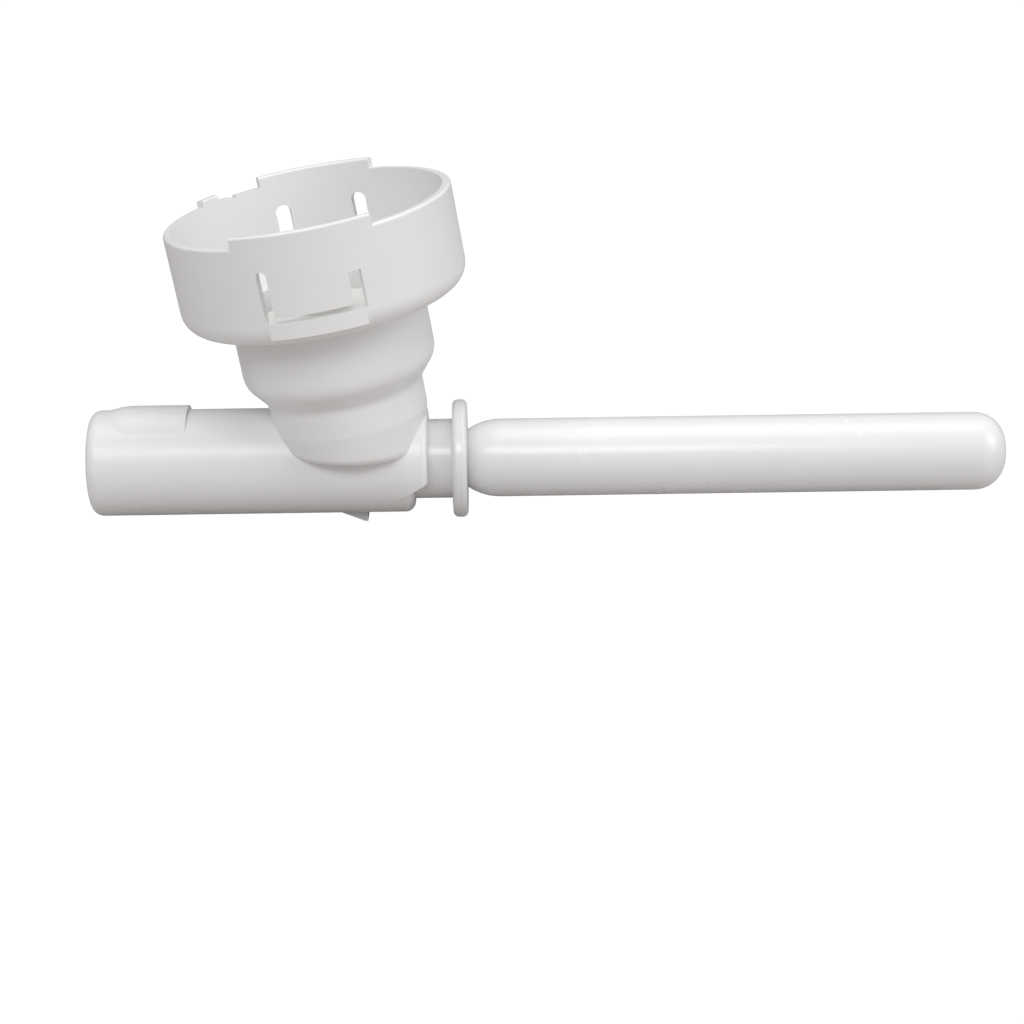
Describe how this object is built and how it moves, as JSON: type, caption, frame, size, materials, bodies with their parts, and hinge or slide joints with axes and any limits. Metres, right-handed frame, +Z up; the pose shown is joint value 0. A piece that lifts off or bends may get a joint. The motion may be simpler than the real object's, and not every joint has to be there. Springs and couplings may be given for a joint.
{
  "type": "toilet fill valve",
  "caption": "Side-inlet diaphragm fill valve: main tube, leaning stem with an open latch cup for the float head, flanged outlet sleeve and a long swivelling discharge tube.",
  "frame": {"origin": "centre of the inlet mouth, on the main tube's axis", "axes": "+X along the main tube to the discharge tube's tip, +Z up, the stem leans 9.25 degrees from +Z towards -X"},
  "size_m": [0.1754, 0.0544, 0.0659],
  "materials": {
    "body_plastic": "milky off-white polypropylene, satin",
    "latch_plastic": "the body's own plastic",
    "sleeve_plastic": "milky white acetal, satin",
    "spout_plastic": "glossy white blown polyethylene",
    "inner_plastic": "natural acetal",
    "filter_plastic": "pale blue-grey polypropylene",
    "bonnet_plastic": "white glass-filled plastic",
    "seal_rubber": "black EPDM",
    "diaphragm_rubber": "dark grey EPDM",
    "spring_steel": "stainless spring wire",
    "pin_plastic": "natural acetal"
  },
  "bodies": {
    "housing": {"main_tube": "body_plastic", "stem_barrel": "body_plastic", "head_cup": "body_plastic", "inlet_strainer": "filter_plastic", "flow_regulator": "inner_plastic", "regulator_ring": "seal_rubber", "check_seat": "inner_plastic", "check_spring": "spring_steel", "check_cage": "inner_plastic", "seat_insert": "inner_plastic", "seat_o_ring": "seal_rubber", "diaphragm": "diaphragm_rubber", "return_spring": "spring_steel", "bonnet": "bonnet_plastic", "bonnet_o_ring": "seal_rubber", "bonnet_ring": "bonnet_plastic", "outlet_sleeve": "sleeve_plastic", "sleeve_o_ring": "seal_rubber"},
    "front_latch_body": {"front_latch": "latch_plastic"},
    "rear_latch_body": {"rear_latch": "latch_plastic"},
    "poppet": {"check_poppet": "pin_plastic", "check_seal": "seal_rubber"},
    "diaphragm_core": {"diaphragm_plate": "inner_plastic"},
    "pilot": {"pilot_pin": "pin_plastic", "pilot_seal": "seal_rubber"},
    "spout": {"discharge_tube": "spout_plastic", "tube_o_ring": "seal_rubber", "tube_clip": "pin_plastic", "flow_straightener": "inner_plastic"}
  },
  "joints": [
    {"name": "tube_swivel", "type": "hinge", "parent": "housing", "child": "spout", "pos_m": [0.0722, 0, 0], "axis": [1, 0, 0], "continuous": true},
    {"name": "check_slide", "type": "slide", "parent": "housing", "child": "poppet", "axis": [1, 0, 0], "range_m": [0, 0.0024], "stiffness_N_per_m": 120, "springref_m": -0.002, "deforming": ["check_spring"]},
    {"name": "diaphragm_lift", "type": "slide", "parent": "housing", "child": "diaphragm_core", "axis": [-0.1607, 0, 0.987], "range_m": [0, 0.002], "stiffness_N_per_m": 200, "springref_m": -0.002, "deforming": ["diaphragm", "return_spring"]},
    {"name": "pilot_lift", "type": "slide", "parent": "housing", "child": "pilot", "axis": [-0.1607, 0, 0.987], "range_m": [0, 0.0015]},
    {"name": "front_latch_flex", "type": "hinge", "parent": "housing", "child": "front_latch_body", "pos_m": [0.04512, -0.02705, 0.04295], "axis": [-0.9867, -0.0262, -0.1607], "range_deg": [0, 8], "stiffness_Nm_per_rad": 0.6},
    {"name": "rear_latch_flex", "type": "hinge", "parent": "housing", "child": "rear_latch_body", "pos_m": [0.04424, 0.02706, 0.04281], "axis": [0.987, 0.007, 0.1607], "range_deg": [0, 8], "stiffness_Nm_per_rad": 0.6}
  ]
}
